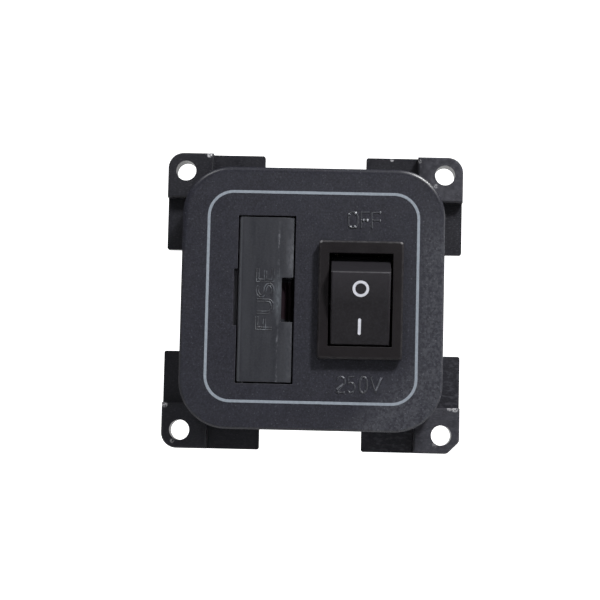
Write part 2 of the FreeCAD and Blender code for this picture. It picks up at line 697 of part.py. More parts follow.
def moving_contact(side):
    """Silver rivet head on the back of the bridge's upper wing."""
    y, z = bridge_point(CONTACT_REACH, BRIDGE_THICKNESS)
    lean = math.radians(BRIDGE_WING_DEG)
    back = V(0, math.cos(lean), math.sin(lean))
    head = Part.makeCylinder(CONTACT_DIA / 2, MOVING_CONTACT, V(0, y, z), back)
    return at_bridge(head, side)


def closed_contact():
    """Where the moving contact's face comes to rest when the switch is on."""
    y, z = bridge_point(CONTACT_REACH, BRIDGE_THICKNESS + MOVING_CONTACT)
    y, z = turned_point(y, z, -BRIDGE_TILT_DEG)
    return BRIDGE_Y + y, z


# Fixed contacts and terminals of the switch

def load_head_front():
    return closed_contact()[0] + CONTACT_GAP + FIXED_CONTACT


def fixed_contact(side):
    """Domed silver rivet head on the load terminal."""
    x = side * POLE_OFFSET
    z = closed_contact()[1]
    back = load_head_front()
    head = rod_y(CONTACT_DIA / 2, back - FIXED_CONTACT, back, x, z)
    ball = Part.makeSphere(CONTACT_DOME, V(x, back - FIXED_CONTACT + CONTACT_DOME, z))
    return at_switch(one(head.common(ball)))


def switch_blade(side, front, z):
    """A blade terminal on edge, standing in the housing floor."""
    length = SWITCH_BACK + SWITCH_BLADE_LENGTH - front
    blade = tipped_blade(SWITCH_BLADE_WIDTH, length, SWITCH_BLADE_HOLE, front)
    blade.translate(V(0, 0, -BLADE_THICKNESS / 2))
    blade.rotate(V(0, 0, 0), V(0, 1, 0), 90)
    blade.translate(V(side * BLADE_X, 0, z))
    return blade


def terminal_head(side, front, z0, z1):
    x = side * POLE_OFFSET
    half = BRIDGE_WIDTH / 2
    return block(x - half, x + half, front, front + BLADE_THICKNESS, z0, z1)


def common_terminal(side):
    """Centre terminal: its head lies on the floor and carries the ridge that the bridge rocks on."""
    front = FLOOR - BLADE_THICKNESS
    head = terminal_head(side, front, -HEAD_LENGTH / 2, HEAD_LENGTH / 2)
    x = side * POLE_OFFSET
    half = BRIDGE_WIDTH / 2
    ridge = rod_x(RIDGE_DIA / 2, x - half, x + half, BRIDGE_Y)
    ridge = ridge.common(block(x - half, x + half, BRIDGE_Y - RIDGE_DIA, BRIDGE_Y, -RIDGE_DIA, RIDGE_DIA))
    neck = block(x - half, x + half, BRIDGE_Y, front + SUNK, -RIDGE_NECK / 2, RIDGE_NECK / 2)
    return at_switch(one(switch_blade(side, front, COMMON_BLADE_Z).multiFuse([head, ridge, neck])))


def load_terminal(side):
    """Upper terminal: its head stands off the floor and carries the fixed contact."""
    front = load_head_front()
    z = closed_contact()[1]
    head = terminal_head(side, front, z - LOAD_HEAD_LENGTH / 2, z + LOAD_HEAD_LENGTH / 2)
    return at_switch(one(switch_blade(side, front, LOAD_BLADE_Z).fuse(head)))


SIDES = {"left": -1, "right": 1}
ENDS = {"upper": 1, "lower": -1}


def all_parts():
    parts = {
        "mounting_frame": mounting_frame(),
        "face_plate": face_plate(),
        "fuse_housing": fuse_housing(),
        "fuse_carrier": fuse_carrier(),
        "fuse_barrel": fuse_barrel(),
        "fuse_element": fuse_element(),
        "switch_housing": switch_housing(),
        "rocker": rocker(),
    }
    for name, end in ENDS.items():
        parts["fuse_cap_" + name] = fuse_cap(end)
        parts["fuse_contact_" + name] = fuse_contact(end)
    for name, side in SIDES.items():
        parts["plunger_" + name] = plunger(side)
        parts["plunger_spring_" + name] = plunger_spring(side)
        parts["contact_bridge_" + name] = contact_bridge(side)
        parts["moving_contact_" + name] = moving_contact(side)
        parts["fixed_contact_" + name] = fixed_contact(side)
        parts["common_terminal_" + name] = common_terminal(side)
        parts["load_terminal_" + name] = load_terminal(side)
    return parts


def export():
    os.makedirs("parts", exist_ok=True)
    for name, shape in all_parts().items():
        shape.exportStep("parts/" + name + ".step")


export()
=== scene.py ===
import json
import math

import bpy
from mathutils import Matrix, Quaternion, Vector


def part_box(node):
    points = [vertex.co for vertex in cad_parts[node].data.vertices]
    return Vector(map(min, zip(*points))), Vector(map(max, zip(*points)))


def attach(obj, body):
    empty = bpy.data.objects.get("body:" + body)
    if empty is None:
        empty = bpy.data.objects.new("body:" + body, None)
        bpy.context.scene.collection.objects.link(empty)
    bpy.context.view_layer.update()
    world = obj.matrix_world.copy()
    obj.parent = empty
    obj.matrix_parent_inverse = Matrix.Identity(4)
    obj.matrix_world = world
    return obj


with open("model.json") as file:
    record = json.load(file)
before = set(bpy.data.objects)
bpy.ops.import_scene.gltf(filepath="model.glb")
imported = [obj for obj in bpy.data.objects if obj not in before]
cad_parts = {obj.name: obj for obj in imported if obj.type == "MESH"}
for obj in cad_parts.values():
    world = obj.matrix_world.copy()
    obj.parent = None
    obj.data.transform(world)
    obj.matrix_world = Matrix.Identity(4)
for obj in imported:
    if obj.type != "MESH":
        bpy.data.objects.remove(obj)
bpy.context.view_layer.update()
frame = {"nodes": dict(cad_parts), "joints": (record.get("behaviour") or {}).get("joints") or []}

MM = 0.001

# Faces and places read from the frame
face_low, face_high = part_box("face_plate")
carrier_low, carrier_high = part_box("fuse_carrier")
bezel_low, bezel_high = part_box("switch_housing")
rocker_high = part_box("rocker")[1]
frame_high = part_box("mounting_frame")[1]
joints = {joint["name"]: joint for joint in frame["joints"]}
FACE_Y = face_low.y
FACE_HALF = face_high.x
FRAME_HALF = frame_high.x
TAB_FRONT = face_high.y
PIVOT = Vector(joints["rocker_tilt"]["pos_m"])
CARRIER_RIGHT = carrier_high.x
CARRIER_LEFT = carrier_low.x
CARRIER_MIDDLE = (carrier_low.z + carrier_high.z) / 2

# The part's own sizes
FACE_ROUND = 8.6 * MM
TAB_INNER = FRAME_HALF - 8.25 * MM
CREASE = CARRIER_RIGHT - 2.6 * MM

# Face plate: rolled and polished rim
RIM_WIDTH = 0.8 * MM
RIM_TURN = math.radians(36)
RIM_POLISHED = (-1.1 * MM, -0.6 * MM)
RIM_POLISHED_FROM = (8 * MM, 16 * MM)
RIM_DEPTH = 0.5 * MM
RIM_ROUGHNESS = 0.31

# Face plate: painted glare, paler along the right margin and over the lower right corner
GLARE_SIDE = (18.4 * MM, 20.2 * MM)
GLARE_BELOW = (19 * MM, 8 * MM)
GLARE_CORNER = (27 * MM, 33 * MM)

# Face plate: walls of the finger slot at the carrier's left, lightened as painted light
SLOT_X = CARRIER_LEFT - 0.3 * MM
SLOT_HALF = (0.5 * MM, 6.0 * MM)
SLOT_DEPTH = (FACE_Y + 0.8 * MM, FACE_Y + 1.5 * MM)

# Frame: right-hand tabs lighter as painted light, lighter towards the bottom as painted fill
# light, worn lower right corner
TABS_RIGHT = (18 * MM, 21 * MM)
TABS_FRONT = (-3.0 * MM, -3.7 * MM)
FILL_BELOW = (4 * MM, -20 * MM)
WORN_CORNER = (29 * MM, 38 * MM)

# Carrier: painted highlights along the crease and right edge, painted light on the hinge edge, a
# painted sheen patch, and the pocket for the screwdriver darkened as painted shade
CREASE_HIGHLIGHT = CREASE - 0.05 * MM
EDGE_HIGH = 7.5 * MM
PATCH_MIDDLE = CARRIER_MIDDLE + 0.6 * MM
NOTCH_X = CARRIER_RIGHT - 1.0 * MM
NOTCH_HALF = (1.5 * MM, 3.2 * MM)
NOTCH_START = (FACE_Y + 0.75 * MM, FACE_Y + 1.0 * MM)
NOTCH_END = (FACE_Y + 4.5 * MM, FACE_Y + 4.0 * MM)

# Switch bezel: painted highlight round the rim, strongest at the top, and a painted bright dot at
# each upper corner
BEZEL_ROUND = 0.6 * MM
BEZEL_HIGHLIGHT = (-0.45 * MM, -0.2 * MM)
BEZEL_HEIGHT = 1.6 * MM
BEZEL_TOP = (bezel_high.z - 0.6 * MM, bezel_high.z - 0.3 * MM)
CORNER_INSET = 0.35 * MM
CORNER_DROP = 0.2 * MM

# Printed line on the face plate
LINE_HALF = 18.65 * MM
LINE_ROUND = 4.4 * MM
LINE_WIDTH = 0.5 * MM
LINE_RISE = 0.22 * MM
INK = 0.03 * MM

# Raised lettering: strokes on the cap, pairs of finer ridges on the carrier
STROKE_RADIUS = 0.19 * MM
STROKE_SUNK = 0.05 * MM
CELL_WIDTH = 0.66
RIDGE_RADIUS = 0.13 * MM
RIDGE_SUNK = 0.04 * MM
RIDGE_APART = 0.42 * MM
MITRE_LEAST = 0.5

# Rocker: lighter towards the top as painted light, and the band above it darkened as painted
# shade, measured up from the pivot
LIGHTER_FROM = (1 * MM, 6.2 * MM)
BAND_FROM = (6.3 * MM, 6.6 * MM)
BAND_EDGE = 6.42 * MM
BAND_END = rocker_high.x - 0.35 * MM

# Marks on the rocker
ROCKER_TILT = math.radians(14.0)
ROCKER_RISE = 6.8 * MM
ROCKER_UP = Vector((0, -math.sin(ROCKER_TILT), math.cos(ROCKER_TILT)))
ROCKER_OUT = Vector((0, -math.cos(ROCKER_TILT), -math.sin(ROCKER_TILT)))
RING_AT = 3.52 * MM
RING_OUTER = 1.45 * MM
RING_STROKE = 0.48 * MM
BAR_AT = Vector((-0.1, -3.22)) * MM
BAR_HEIGHT = 2.95 * MM
BAR_WIDTH = 0.52 * MM

# Stage: a floor that bends up into a backdrop, in metres, lit up behind the unit
SWEEP_FLOOR, SWEEP_TOP = -0.11, 1.2
SWEEP_FRONT, SWEEP_BACK = -1.2, 0.60
SWEEP_HALF = 1.6
SWEEP_BEND = 0.25
SWEEP_STEPS = 12
GLOW_FROM = (0.20, 0.36)
GLOW = 1.1

# Lamps: name, direction seen from the face, distance, size and power
BEAM = math.radians(40)
LAMPS = [
    ("key", (0.68, -1.0, 1.2), 0.70, 0.16, 0.25),
    ("spark", (0.66, -1.0, 1.1), 0.75, 0.06, 0.10),
    ("side", (1.0, -0.35, 0.1), 0.45, 0.18, 0.025),
    ("left", (-0.55, -1.0, 1.05), 0.70, 0.14, 0.055),
]
WORLD_COLOUR = (0.96, 0.98, 1.0, 1)
WORLD_STRENGTH = 0.20

# Camera
CAMERA_PLACE = Vector((4.73, -310.6, -23.5)) * MM
CAMERA_FORWARD = Vector((-0.0229, 0.9967, 0.0774))
CAMERA_ROLL = math.radians(1.3)
CAMERA_LENS = 101.44
CAMERA_SENSOR = 36.0


# Material tools

# A mix node's sockets for its two inputs and its result
MIX_SOCKETS = {"FLOAT": (2, 3, 0), "VECTOR": (4, 5, 1), "RGBA": (6, 7, 2)}


class Nodes:
    """A material's node tree, with short calls for the nodes used here."""

    def __init__(self, name):
        self.material = bpy.data.materials.new(name)
        self.material.use_nodes = True
        self.tree = self.material.node_tree
        self.shader = self.tree.nodes["Principled BSDF"]
        self.place = self.tree.nodes.new("ShaderNodeTexCoord").outputs["Object"]

    def add(self, kind, inputs=None, **settings):
        made = self.tree.nodes.new("ShaderNode" + kind)
        for key, value in settings.items():
            setattr(made, key, value)
        for key, value in (inputs or {}).items():
            self.feed(made.inputs[key], value)
        return made

    def feed(self, socket, value):
        if isinstance(value, bpy.types.NodeSocket):
            self.tree.links.new(value, socket)
        else:
            socket.default_value = value

    def math(self, operation, a, b=0.0, clamp=False):
        return self.add("Math", {0: a, 1: b}, operation=operation, use_clamp=clamp).outputs[0]

    def times(self, a, b, clamp=False):
        """The product of two masks, so where both are."""
        return self.math("MULTIPLY", a, b, clamp)

    def either(self, a, b):
        """The larger of two masks, so one or the other."""
        return self.math("MAXIMUM", a, b)

    def noise(self, size, detail=3.0, stretch=None, roughness=0.55):
        """Soft random pattern with features of about that size in metres."""
        place = self.place
        if stretch:
            place = self.add("Mapping", {"Vector": place, "Scale": stretch}).outputs[0]
        inputs = {"Vector": place, "Scale": 1 / size, "Detail": detail, "Roughness": roughness}
        return self.add("TexNoise", inputs).outputs["Fac"]

    def spread(self, value, low, high, to_low=0.0, to_high=1.0):
        """The value's range from low to high stretched to the other range, and held there."""
        inputs = {"Value": value, "From Min": low, "From Max": high}
        inputs.update({"To Min": to_low, "To Max": to_high})
        return self.add("MapRange", inputs, clamp=True).outputs[0]

    def blend(self, amount, first, second, data_type="RGBA"):
        one, two, result = MIX_SOCKETS[data_type]
        made = self.add("Mix", data_type=data_type)
        for key, value in ((0, amount), (one, first), (two, second)):
            self.feed(made.inputs[key], value)
        return made.outputs[result]

    def mottle(self, pattern, first, second, low=0.35, high=0.65):
        """Two tones in the pattern's patches."""
        return self.blend(self.spread(pattern, low, high), first, second)

    def bump(self, height, depth, after):
        inputs = {"Height": height, "Distance": depth, "Strength": 1.0, "Normal": after}
        return self.add("Bump", inputs).outputs[0]

    def soft_edges(self, radius, samples=6):
        """Normals that turn gently over the piece's edges, for the first bump to start from."""
        return self.add("Bevel", {"Radius": radius}, samples=samples).outputs[0]

    def axis(self, name):
        return self.add("SeparateXYZ", {0: self.place}).outputs[name]

    def strip(self, value, middle, half, fade):
        """One within half of the middle, falling to zero over the fade."""
        away = self.math("ABSOLUTE", self.math("SUBTRACT", value, middle))
        return self.spread(away, half, half + fade, 1.0, 0.0)

    def vector(self, operation, a, b=(0, 0, 0)):
        return self.add("VectorMath", {0: a, 1: b}, operation=operation).outputs

    def rounded_box(self, middle, half_x, half_z, radius):
        """Distance from a rounded rectangle in XZ: below zero inside, down to minus its radius."""
        away = self.vector("SUBTRACT", self.place, middle)[0]
        size = self.vector("ABSOLUTE", self.vector("MULTIPLY", away, (1, 0, 1))[0])[0]
        past = self.vector("SUBTRACT", size, (half_x - radius, 0, half_z - radius))[0]
        past = self.vector("MAXIMUM", past, (0, 0, 0))[0]
        return self.math("SUBTRACT", self.vector("LENGTH", past)["Value"], radius)

    def rolled_rim(self, half, radius, width, most):
        """Normals of a rounded square front that rolls back by up to that angle over its rim."""
        flat = self.vector("MULTIPLY", self.place, (1, 0, 1))[0]
        reach = half - radius
        inner = self.vector("MAXIMUM", flat, (-reach, 0, -reach))[0]
        inner = self.vector("MINIMUM", inner, (reach, 0, reach))[0]
        past = self.vector("SUBTRACT", flat, inner)[0]
        turn = self.spread(self.vector("LENGTH", past)["Value"], radius - width, radius, 0.0, most)
        outward = self.vector("NORMALIZE", past)[0]
        inputs = {0: outward, "Scale": self.math("SINE", turn)}
        side = self.add("VectorMath", inputs, operation="SCALE").outputs[0]
        front = self.add("CombineXYZ", {1: self.times(self.math("COSINE", turn), -1.0)}).outputs[0]
        return self.vector("NORMALIZE", self.vector("ADD", side, front)[0])[0]

    def near(self, point, radius):
        """One at the point, falling to zero at that radius."""
        away = self.vector("DISTANCE", self.place, point)["Value"]
        return self.spread(away, 0.0, radius, 1.0, 0.0)

    def finish(self, colour, roughness, normal=None, metallic=0.0, specular=0.35):
        self.feed(self.shader.inputs["Base Color"], colour)
        self.feed(self.shader.inputs["Roughness"], roughness)
        self.shader.inputs["Metallic"].default_value = metallic
        self.shader.inputs["Specular IOR Level"].default_value = specular
        if normal:
            self.feed(self.shader.inputs["Normal"], normal)
        return self.material


def rgb(red, green, blue):
    """Screen colour from 0 to 255 as a linear colour."""
    def linear(value):
        value /= 255
        return value / 12.92 if value <= 0.04045 else ((value + 0.055) / 1.055) ** 2.4
    return (linear(red), linear(green), linear(blue), 1.0)


# Materials

def face_plastic():
    """Slate grey cap: fine grain, a paler right margin of painted glare with painted glints, and a
    polished upper rim.
    """
    n = Nodes("face_plastic")
    x, y, z = n.axis("X"), n.axis("Y"), n.axis("Z")
    grain = n.noise(0.30 * MM, 2.0)
    colour = n.mottle(n.noise(9 * MM, 4.0), rgb(20, 20, 28), rgb(24, 25, 33))
    colour = n.blend(n.spread(grain, 0.38, 0.66, 0.0, 0.7), colour, rgb(40, 40, 50))
    # Painted glare: the right margin and lower right corner lighter, broken into patches
    side = n.times(n.spread(x, *GLARE_SIDE), n.spread(z, *GLARE_BELOW))
    glare = n.either(side, n.spread(n.math("SUBTRACT", x, z), *GLARE_CORNER))
    glare_patches = n.spread(n.noise(0.45 * MM, 4.0), 0.38, 0.64, 0.12, 1.0)
    colour = n.blend(n.times(glare, glare_patches), colour, rgb(58, 59, 65))
    # Painted glints: bright specks over the whole face, strongest in the painted glare
    sparkle = n.spread(n.noise(0.34 * MM, 1.0), 0.64, 0.74)
    sparkle = n.times(sparkle, n.spread(glare, 0, 1, 0.35, 0.8))
    colour = n.blend(sparkle, colour, rgb(86, 88, 94))
    # Painted light on the walls of the finger slot
    colour = n.blend(slot_walls(n), colour, rgb(72, 72, 78))
    rim = n.spread(n.rounded_box((0, 0, 0), FACE_HALF, FACE_HALF, FACE_ROUND), *RIM_POLISHED)
    polished = n.times(rim, n.spread(z, *RIM_POLISHED_FROM))
    polished = n.times(polished, n.math("LESS_THAN", y, FACE_Y + RIM_DEPTH))
    rough = n.spread(n.noise(3 * MM), 0.3, 0.7, 0.42, 0.50)
    rough = n.blend(polished, rough, RIM_ROUGHNESS, "FLOAT")
    rolled = n.rolled_rim(FACE_HALF, FACE_ROUND, RIM_WIDTH, RIM_TURN)
    on_rim = n.math("GREATER_THAN", polished, 0.01)
    soft = n.blend(on_rim, n.soft_edges(0.2 * MM), rolled, "VECTOR")
    grained = n.times(grain, n.math("SUBTRACT", 1.0, polished))
    return n.finish(colour, rough, n.bump(grained, 0.010 * MM, soft), specular=0.38)


def slot_walls(n):
    """The walls of the finger slot beside the carrier, lightened as painted light where they catch
    some.
    """
    across = n.strip(n.axis("X"), SLOT_X, SLOT_HALF[0], 0.2 * MM)
    along = n.strip(n.axis("Z"), CARRIER_MIDDLE, SLOT_HALF[1], 0.5 * MM)
    return n.times(n.times(across, along), n.spread(n.axis("Y"), *SLOT_DEPTH))


def letter_plastic():
    """The same plastic on the raised strokes, where handling has polished it."""
    n = Nodes("letter_plastic")
    patch = n.noise(0.5 * MM, 2.0)
    colour = n.mottle(patch, rgb(36, 37, 42), rgb(56, 57, 63), 0.4, 0.62)
    rough = n.spread(patch, 0.35, 0.65, 0.38, 0.24)
    return n.finish(colour, rough, n.bump(patch, 0.01 * MM, n.soft_edges(0.05 * MM)), specular=0.5)


def highlight_plastic():
    """Painted highlights on parts of the raised strokes, paler towards the top."""
    n = Nodes("highlight_plastic")
    wear = n.noise(0.8 * MM, 2.0)
    # Painted highlights, paler towards the top of the face
    pale = n.blend(n.spread(n.axis("Z"), -4 * MM, 4 * MM), rgb(90, 92, 99), rgb(160, 162, 168))
    colour = n.mottle(wear, rgb(60, 62, 68), pale, 0.40, 0.62)
    rough = n.spread(wear, 0.35, 0.65, 0.48, 0.36)
    return n.finish(colour, rough, n.bump(wear, 0.01 * MM, n.soft_edges(0.05 * MM)), specular=0.5)


def frame_plastic():
    """Black mounting frame: semi-gloss, with painted light on the right-hand tabs and towards the
    bottom, scuffs, and a few bright bruises that are partly painted highlights.
    """
    n = Nodes("frame_plastic")
    cloud = n.noise(6 * MM, 4.0)
    colour = n.mottle(cloud, rgb(23, 23, 28), rgb(28, 28, 33))
    grain = n.noise(0.35 * MM, 2.0)
    colour = n.blend(n.spread(grain, 0.4, 0.7, 0.0, 0.5), colour, rgb(40, 40, 46))
    x, y, z = n.axis("X"), n.axis("Y"), n.axis("Z")
    # Painted light: the right-hand tabs lighter, on the lamps' side
    right = n.spread(x, *TABS_RIGHT)
    tabs = n.times(right, n.spread(y, *TABS_FRONT))
    mottle = n.spread(n.noise(0.9 * MM, 5.0), 0.35, 0.65, 0.35, 1.0)
    colour = n.blend(n.times(tabs, mottle), colour, rgb(60, 60, 66))
    # Painted fill light: lighter towards the bottom, where the frame lies in shade
    painted_fill = n.times(n.spread(z, *FILL_BELOW, 0.0, 0.5), n.spread(grain, 0.3, 0.7, 0.6, 1.0))
    colour = n.blend(painted_fill, colour, rgb(42, 42, 48))
    scuff = n.spread(n.noise(0.5 * MM, 4.0, (1, 1, 3)), 0.54, 0.70)
    scuffed = n.times(scuff, n.spread(right, 0.0, 1.0, 0.3, 0.6))
    colour = n.blend(scuffed, colour, rgb(74, 74, 80))
    worn = n.spread(n.math("SUBTRACT", x, z), *WORN_CORNER)
    wisps = n.spread(n.noise(1.3 * MM, 6.0, (1, 1, 2)), 0.50, 0.66, 0.0, 0.8)
    colour = n.blend(n.times(wisps, worn), colour, rgb(62, 62, 68))
    # Bright nicks, partly painted highlights on the tab edges
    colour = n.blend(nicks_and_glints(n), colour, rgb(205, 205, 208))
    rough = n.spread(cloud, 0.35, 0.65, 0.34, 0.44)
    rough = n.math("ADD", rough, n.times(scuff, 0.12))
    normal = n.bump(n.noise(0.3 * MM, 2.0), 0.006 * MM, n.soft_edges(0.10 * MM))
    return n.finish(colour, rough, n.bump(n.noise(4 * MM), 0.03 * MM, normal), specular=0.27)


def nicks_and_glints(n):
    """Where the plastic is bruised white, and partly painted highlights on edges: mostly corners
    of the tabs and edges of the holes.
    """
    # Place, radius and strength of each
    edge = FRAME_HALF - 0.3 * MM
    places = [
        ((-TAB_INNER - 0.7 * MM, TAB_FRONT, edge), 0.6 * MM, 0.9),
        ((-edge + 0.2 * MM, TAB_FRONT, -TAB_INNER - 0.45 * MM), 0.65 * MM, 0.8),
        ((edge - 1.6 * MM, TAB_FRONT, -TAB_INNER - 0.05 * MM), 0.55 * MM, 0.5),
        ((edge - 0.6 * MM, TAB_FRONT, -TAB_INNER - 0.1 * MM), 0.7 * MM, 0.8),
        ((TAB_INNER + 0.2 * MM, TAB_FRONT, edge - 0.5 * MM), 0.5 * MM, 0.35),
        ((14.0 * MM, -1.5 * MM, edge), 0.4 * MM, 0.6),
        ((22.0 * MM, TAB_FRONT, 21.7 * MM), 0.5 * MM, 0.35),
        ((22.6 * MM, TAB_FRONT, -25.4 * MM), 0.6 * MM, 0.2),
        ((-24.9 * MM, TAB_FRONT, -25.7 * MM), 0.5 * MM, 0.35),
    ]
    ragged = n.spread(n.noise(0.32 * MM, 4.0), 0.40, 0.56)
    total = None
    for point, radius, strength in places:
        spot = n.times(n.times(n.near(point, radius), 2.2, clamp=True), strength)
        total = spot if total is None else n.either(total, spot)
    return n.times(total, ragged, clamp=True)


def ridge_plastic():
    """The carrier's fine ridges, worn unevenly."""
    n = Nodes("ridge_plastic")
    wear = n.noise(1.1 * MM, 3.0)
    colour = n.mottle(wear, rgb(40, 41, 46), rgb(72, 75, 81), 0.42, 0.62)
    return n.finish(colour, 0.42, n.bump(wear, 0.01 * MM, n.soft_edges(0.04 * MM)), specular=0.5)


def carrier_plastic():
    """Fuse carrier lid: smoother than the cap, with upright flow marks, painted highlights on the
    crease and right edge, painted light on the hinge edge, and a painted sheen patch.
    """
    n = Nodes("carrier_plastic")
    x, z = n.axis("X"), n.axis("Z")
    flow = n.noise(2.2 * MM, 4.0, (1.6, 1, 0.22))
    colour = n.mottle(flow, rgb(37, 38, 43), rgb(42, 43, 48), 0.38, 0.62)
    fleck = n.noise(0.5 * MM, 3.0, (1, 1, 0.6))
    patchy = n.spread(n.noise(2.5 * MM), 0.45, 0.6, 0.15, 1.0)
    broken = n.times(n.spread(fleck, 0.46, 0.62), patchy)
    # Painted highlights along the crease and the right edge, brighter towards the top
    crease = n.times(n.strip(x, CREASE_HIGHLIGHT, 0.02 * MM, 0.25 * MM), broken)
    high = n.either(n.strip(z, EDGE_HIGH, 1.0 * MM, 4.5 * MM), 0.35)
    flecked = n.times(n.spread(fleck, 0.34, 0.62, 0.3, 1.0), high)
    edge = n.times(n.strip(x, CARRIER_RIGHT - 0.1 * MM, 0.1 * MM, 1.3 * MM), flecked)
    # Painted light over the rounded hinge edge, which turns away from the lamps
    hinge = n.times(n.strip(x, CARRIER_LEFT + 0.1 * MM, 0.2 * MM, 0.4 * MM), 0.8)
    painted_light = n.either(n.either(crease, edge), hinge)
    colour = n.blend(n.times(painted_light, 0.6), colour, rgb(112, 114, 120))
    grain = n.noise(0.32 * MM, 2.0)
    colour = n.blend(n.spread(grain, 0.4, 0.7, 0.0, 0.4), colour, rgb(52, 53, 58))
    # Painted sheen: a pale patch beside the crease
    across = n.strip(x, CREASE_HIGHLIGHT, 0.2 * MM, 0.8 * MM)
    patch = n.times(across, n.strip(z, PATCH_MIDDLE, 1.0 * MM, 4.0 * MM))
    patch = n.times(patch, n.spread(fleck, 0.3, 0.6, 0.45, 1.0))
    colour = n.blend(n.times(patch, 0.7), colour, rgb(82, 86, 91))
    # Painted shade in the screwdriver pocket, over the raw plastic's reddish tint
    colour = n.blend(notch_depth(n), colour, rgb(32, 23, 28))
    rough = n.spread(flow, 0.35, 0.65, 0.34, 0.44)
    normal = n.bump(n.noise(0.25 * MM, 2.0), 0.005 * MM, n.soft_edges(0.12 * MM))
    return n.finish(colour, rough, n.bump(flow, 0.03 * MM, normal))


def notch_depth(n):
    """The pocket for the screwdriver below the lid's skin: reddish raw plastic, darkened further
    as painted shade.
    """
    x, y, z = n.axis("X"), n.axis("Y"), n.axis("Z")
    across = n.strip(x, NOTCH_X, NOTCH_HALF[0], 0.2 * MM)
    along = n.strip(z, CARRIER_MIDDLE, NOTCH_HALF[1], 0.2 * MM)
    deep = n.times(n.spread(y, *NOTCH_START), n.spread(y, *NOTCH_END))
    return n.times(n.times(across, along), deep)


def bezel_plastic():
    """Switch housing: satin black, with a painted highlight round its rim, most along the top
    edge, and painted dots at the upper corners.
    """
    n = Nodes("bezel_plastic")
    grain = n.noise(0.2 * MM, 2.0)
    cloud = n.noise(4 * MM)
    colour = n.mottle(cloud, rgb(12, 8, 11), rgb(15, 11, 14))
    colour = n.blend(n.spread(grain, 0.45, 0.75, 0.0, 0.4), colour, rgb(24, 20, 24))
    y, z = n.axis("Y"), n.axis("Z")
    half = (bezel_high - bezel_low) / 2
    rim = n.rounded_box((bezel_low + bezel_high) / 2, half.x, half.z, BEZEL_ROUND)
    # Painted highlight round the rim, strongest along the top
    edge = n.times(n.spread(rim, *BEZEL_HIGHLIGHT), n.spread(y, FACE_Y, FACE_Y - BEZEL_HEIGHT))
    top = n.spread(z, *BEZEL_TOP, 0.5, 1.0)
    uneven = n.spread(n.noise(0.8 * MM, 3.0), 0.4, 0.65, 0.3, 0.9)
    colour = n.blend(n.times(n.times(edge, top), uneven), colour, rgb(58, 57, 59))
    # Painted highlights: a bright dot at each upper corner
    for x in (bezel_low.x + CORNER_INSET, bezel_high.x - CORNER_INSET):
        dot = n.near((x, bezel_low.y, bezel_high.z - CORNER_DROP), 0.38 * MM)
        colour = n.blend(n.times(dot, 1.6, clamp=True), colour, rgb(100, 99, 100))
    rough = n.spread(cloud, 0.3, 0.7, 0.44, 0.52)
    normal = n.bump(grain, 0.008 * MM, n.soft_edges(0.15 * MM))
    return n.finish(colour, rough, normal, specular=0.24)


def rocker_plastic():
    """Rocker key: smoother black, lighter upwards as painted light, with the band darkened as
    painted shade and painted highlight lines at the top.
    """
    n = Nodes("rocker_plastic")
    colour = n.mottle(n.noise(3 * MM, 3.0), rgb(23, 21, 24), rgb(27, 25, 28))
    colour = n.blend(n.spread(n.noise(0.4 * MM, 3.0), 0.4, 0.7, 0.0, 0.6), colour, rgb(38, 37, 41))
    height = n.vector("DOT_PRODUCT", n.place, ROCKER_UP)["Value"]
    along = n.math("SUBTRACT", height, PIVOT.dot(ROCKER_UP))
    # Painted light: the face lighter towards the top
    colour = n.blend(n.spread(along, *LIGHTER_FROM, 0.0, 0.8), colour, rgb(44, 42, 46))
    # Painted shade over the band
    top = n.spread(along, *BAND_FROM)
    colour = n.blend(n.times(top, 0.7), colour, rgb(30, 29, 32))
    # Painted highlights along the face's top edge and the band's right end
    uneven = n.spread(n.noise(0.9 * MM, 3.0), 0.4, 0.65, 0.3, 0.9)
    edge = n.times(n.strip(along, BAND_EDGE, 0.03 * MM, 0.11 * MM), uneven)
    end = n.times(n.strip(n.axis("X"), BAND_END, 0.06 * MM, 0.12 * MM), top)
    colour = n.blend(n.times(n.either(edge, end), 0.6), colour, rgb(88, 87, 91))
    rough = n.spread(n.noise(1.5 * MM, 3.0), 0.3, 0.7, 0.36, 0.46)
    normal = n.bump(n.noise(0.2 * MM, 2.0), 0.004 * MM, n.soft_edges(0.15 * MM))
    return n.finish(colour, rough, normal, specular=0.25)


def line_ink():
    """Silver-grey screen print, thin enough to let the grain through."""
    n = Nodes("line_ink")
    patch = n.noise(0.5 * MM, 3.0)
    colour = n.mottle(patch, rgb(120, 127, 135), rgb(131, 138, 147))
    return n.finish(colour, 0.5, n.bump(patch, 0.006 * MM, n.soft_edges(0.02 * MM)), specular=0.2)


def mark_ink():
    """White paint of the O and I."""
    n = Nodes("mark_ink")
    patch = n.noise(0.6 * MM)
    colour = n.mottle(patch, rgb(188, 189, 196), rgb(202, 203, 211))
    return n.finish(colour, 0.45, n.bump(patch, 0.006 * MM, n.soft_edges(0.02 * MM)), specular=0.2)


def metal(name, bright, dull, rough_low, rough_high, brush=(1, 1, 1)):
    """Stamped or drawn metal: fine brushing, tarnish in patches."""
    n = Nodes(name)
    brushed = n.noise(0.35 * MM, 3.0, brush)
    tarnish = n.noise(1.6 * MM, 4.0)
    colour = n.mottle(tarnish, bright, dull, 0.42, 0.68)
    rough = n.spread(brushed, 0.3, 0.7, rough_low, rough_high)
    normal = n.bump(brushed, 0.01 * MM, n.soft_edges(0.08 * MM))
    return n.finish(colour, rough, normal, metallic=1.0, specular=0.5)


